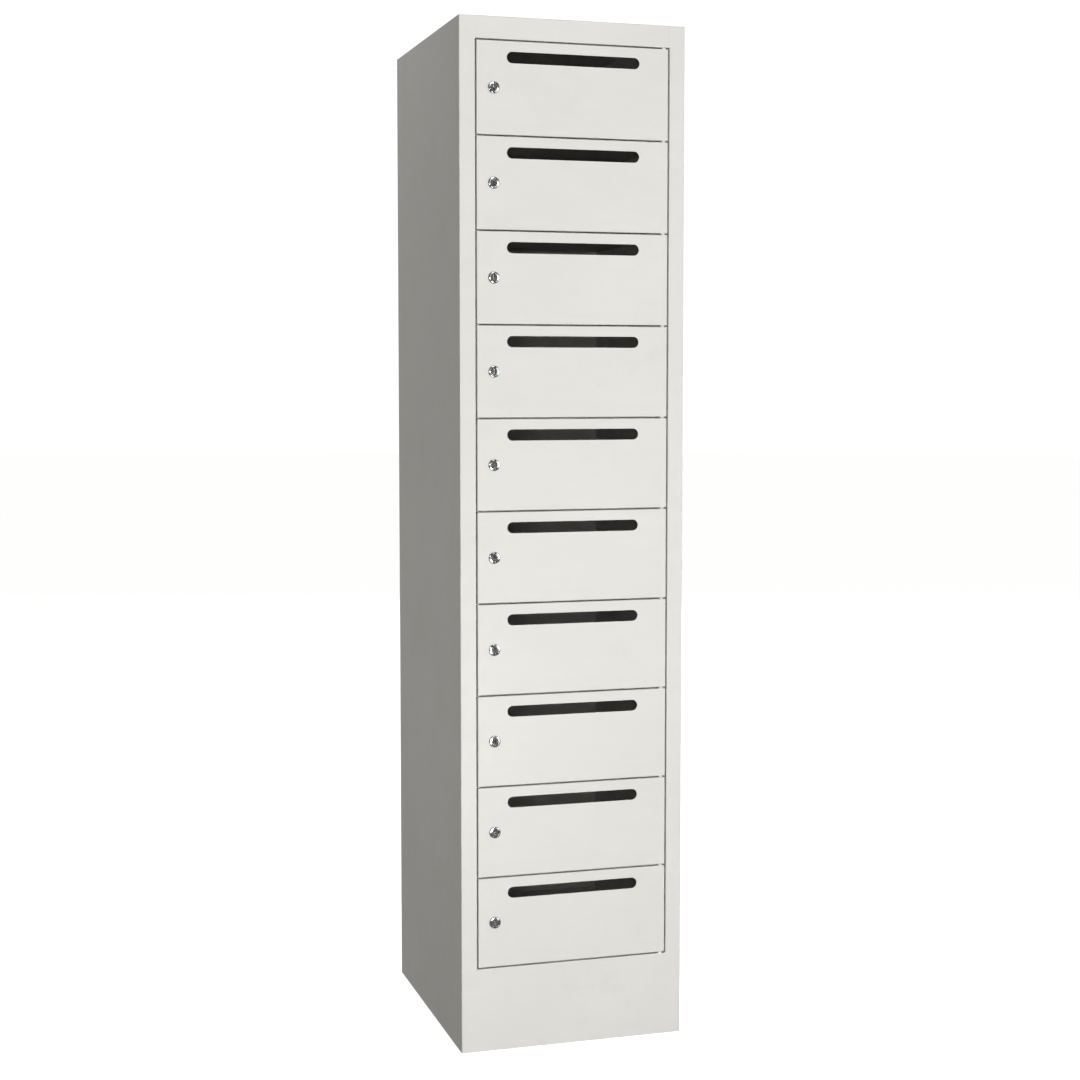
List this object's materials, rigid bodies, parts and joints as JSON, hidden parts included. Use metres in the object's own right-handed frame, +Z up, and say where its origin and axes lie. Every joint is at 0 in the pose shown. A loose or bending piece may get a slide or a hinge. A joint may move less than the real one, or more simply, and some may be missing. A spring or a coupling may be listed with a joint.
{
  "type": "cluster mailbox unit",
  "caption": "Tall sheet-steel cabinet of stacked letter compartments on a plinth, each with a hinged door, a letter slot and a cam lock.",
  "frame": {"origin": "on the floor, under the middle of the carcass (the lock collars stand 3 mm in front of it)", "axes": "+Z up, +X to the right as seen from the front, and the doors face -Y"},
  "size_m": [0.42, 0.503, 1.85],
  "materials": {
    "carcass_coat": "fine-textured satin powder coat",
    "door_coat": "fine-textured satin powder coat",
    "plinth_coat": "fine-textured satin powder coat",
    "lock_chrome": "bright chrome plate",
    "zinc_plate": "zinc plated",
    "white_nylon": "natural nylon",
    "black_rubber": "moulded rubber"
  },
  "bodies": {
    "carcass": {"left_side_panel": "carcass_coat", "right_side_panel": "carcass_coat", "roof_panel": "carcass_coat", "floor_panel": "carcass_coat", "back_panel": "carcass_coat", "plinth_frame": "plinth_coat", "plinth_studs": "zinc_plate", "hinge_pins": "zinc_plate", "hinge_washers": "white_nylon", "door_buffers": "black_rubber", "shelf_01": "carcass_coat", "shelf_02": "carcass_coat", "shelf_03": "carcass_coat", "shelf_04": "carcass_coat", "shelf_05": "carcass_coat", "shelf_06": "carcass_coat", "shelf_07": "carcass_coat", "shelf_08": "carcass_coat", "shelf_09": "carcass_coat"},
    "door_01": {"door_leaf_01": "door_coat", "lock_barrel_01": "lock_chrome"},
    "lock_01": {"lock_plug_01": "lock_chrome", "lock_cam_01": "zinc_plate"},
    "door_02": {"door_leaf_02": "door_coat", "lock_barrel_02": "lock_chrome"},
    "lock_02": {"lock_plug_02": "lock_chrome", "lock_cam_02": "zinc_plate"},
    "door_03": {"door_leaf_03": "door_coat", "lock_barrel_03": "lock_chrome"},
    "lock_03": {"lock_plug_03": "lock_chrome", "lock_cam_03": "zinc_plate"},
    "door_04": {"door_leaf_04": "door_coat", "lock_barrel_04": "lock_chrome"},
    "lock_04": {"lock_plug_04": "lock_chrome", "lock_cam_04": "zinc_plate"},
    "door_05": {"door_leaf_05": "door_coat", "lock_barrel_05": "lock_chrome"},
    "lock_05": {"lock_plug_05": "lock_chrome", "lock_cam_05": "zinc_plate"},
    "door_06": {"door_leaf_06": "door_coat", "lock_barrel_06": "lock_chrome"},
    "lock_06": {"lock_plug_06": "lock_chrome", "lock_cam_06": "zinc_plate"},
    "door_07": {"door_leaf_07": "door_coat", "lock_barrel_07": "lock_chrome"},
    "lock_07": {"lock_plug_07": "lock_chrome", "lock_cam_07": "zinc_plate"},
    "door_08": {"door_leaf_08": "door_coat", "lock_barrel_08": "lock_chrome"},
    "lock_08": {"lock_plug_08": "lock_chrome", "lock_cam_08": "zinc_plate"},
    "door_09": {"door_leaf_09": "door_coat", "lock_barrel_09": "lock_chrome"},
    "lock_09": {"lock_plug_09": "lock_chrome", "lock_cam_09": "zinc_plate"},
    "door_10": {"door_leaf_10": "door_coat", "lock_barrel_10": "lock_chrome"},
    "lock_10": {"lock_plug_10": "lock_chrome", "lock_cam_10": "zinc_plate"}
  },
  "joints": [
    {"name": "door_01_swing", "type": "hinge", "parent": "carcass", "child": "door_01", "pos_m": [0.171, -0.2445, 1.72693], "axis": [0, 0, 1], "range_deg": [0, 110]},
    {"name": "lock_01_turn", "type": "hinge", "parent": "door_01", "child": "lock_01", "pos_m": [-0.1475, -0.25, 1.72693], "axis": [0, 1, 0], "range_deg": [0, 90]},
    {"name": "door_02_swing", "type": "hinge", "parent": "carcass", "child": "door_02", "pos_m": [0.171, -0.2445, 1.56127], "axis": [0, 0, 1], "range_deg": [0, 110]},
    {"name": "lock_02_turn", "type": "hinge", "parent": "door_02", "child": "lock_02", "pos_m": [-0.1475, -0.25, 1.56127], "axis": [0, 1, 0], "range_deg": [0, 90]},
    {"name": "door_03_swing", "type": "hinge", "parent": "carcass", "child": "door_03", "pos_m": [0.171, -0.2445, 1.39562], "axis": [0, 0, 1], "range_deg": [0, 110]},
    {"name": "lock_03_turn", "type": "hinge", "parent": "door_03", "child": "lock_03", "pos_m": [-0.1475, -0.25, 1.39562], "axis": [0, 1, 0], "range_deg": [0, 90]},
    {"name": "door_04_swing", "type": "hinge", "parent": "carcass", "child": "door_04", "pos_m": [0.171, -0.2445, 1.22998], "axis": [0, 0, 1], "range_deg": [0, 110]},
    {"name": "lock_04_turn", "type": "hinge", "parent": "door_04", "child": "lock_04", "pos_m": [-0.1475, -0.25, 1.22998], "axis": [0, 1, 0], "range_deg": [0, 90]},
    {"name": "door_05_swing", "type": "hinge", "parent": "carcass", "child": "door_05", "pos_m": [0.171, -0.2445, 1.06432], "axis": [0, 0, 1], "range_deg": [0, 110]},
    {"name": "lock_05_turn", "type": "hinge", "parent": "door_05", "child": "lock_05", "pos_m": [-0.1475, -0.25, 1.06432], "axis": [0, 1, 0], "range_deg": [0, 90]},
    {"name": "door_06_swing", "type": "hinge", "parent": "carcass", "child": "door_06", "pos_m": [0.171, -0.2445, 0.89868], "axis": [0, 0, 1], "range_deg": [0, 110]},
    {"name": "lock_06_turn", "type": "hinge", "parent": "door_06", "child": "lock_06", "pos_m": [-0.1475, -0.25, 0.89868], "axis": [0, 1, 0], "range_deg": [0, 90]},
    {"name": "door_07_swing", "type": "hinge", "parent": "carcass", "child": "door_07", "pos_m": [0.171, -0.2445, 0.73303], "axis": [0, 0, 1], "range_deg": [0, 110]},
    {"name": "lock_07_turn", "type": "hinge", "parent": "door_07", "child": "lock_07", "pos_m": [-0.1475, -0.25, 0.73303], "axis": [0, 1, 0], "range_deg": [0, 90]},
    {"name": "door_08_swing", "type": "hinge", "parent": "carcass", "child": "door_08", "pos_m": [0.171, -0.2445, 0.56737], "axis": [0, 0, 1], "range_deg": [0, 110]},
    {"name": "lock_08_turn", "type": "hinge", "parent": "door_08", "child": "lock_08", "pos_m": [-0.1475, -0.25, 0.56737], "axis": [0, 1, 0], "range_deg": [0, 90]},
    {"name": "door_09_swing", "type": "hinge", "parent": "carcass", "child": "door_09", "pos_m": [0.171, -0.2445, 0.40172], "axis": [0, 0, 1], "range_deg": [0, 110]},
    {"name": "lock_09_turn", "type": "hinge", "parent": "door_09", "child": "lock_09", "pos_m": [-0.1475, -0.25, 0.40172], "axis": [0, 1, 0], "range_deg": [0, 90]},
    {"name": "door_10_swing", "type": "hinge", "parent": "carcass", "child": "door_10", "pos_m": [0.171, -0.2445, 0.23608], "axis": [0, 0, 1], "range_deg": [0, 110]},
    {"name": "lock_10_turn", "type": "hinge", "parent": "door_10", "child": "lock_10", "pos_m": [-0.1475, -0.25, 0.23608], "axis": [0, 1, 0], "range_deg": [0, 90]}
  ]
}
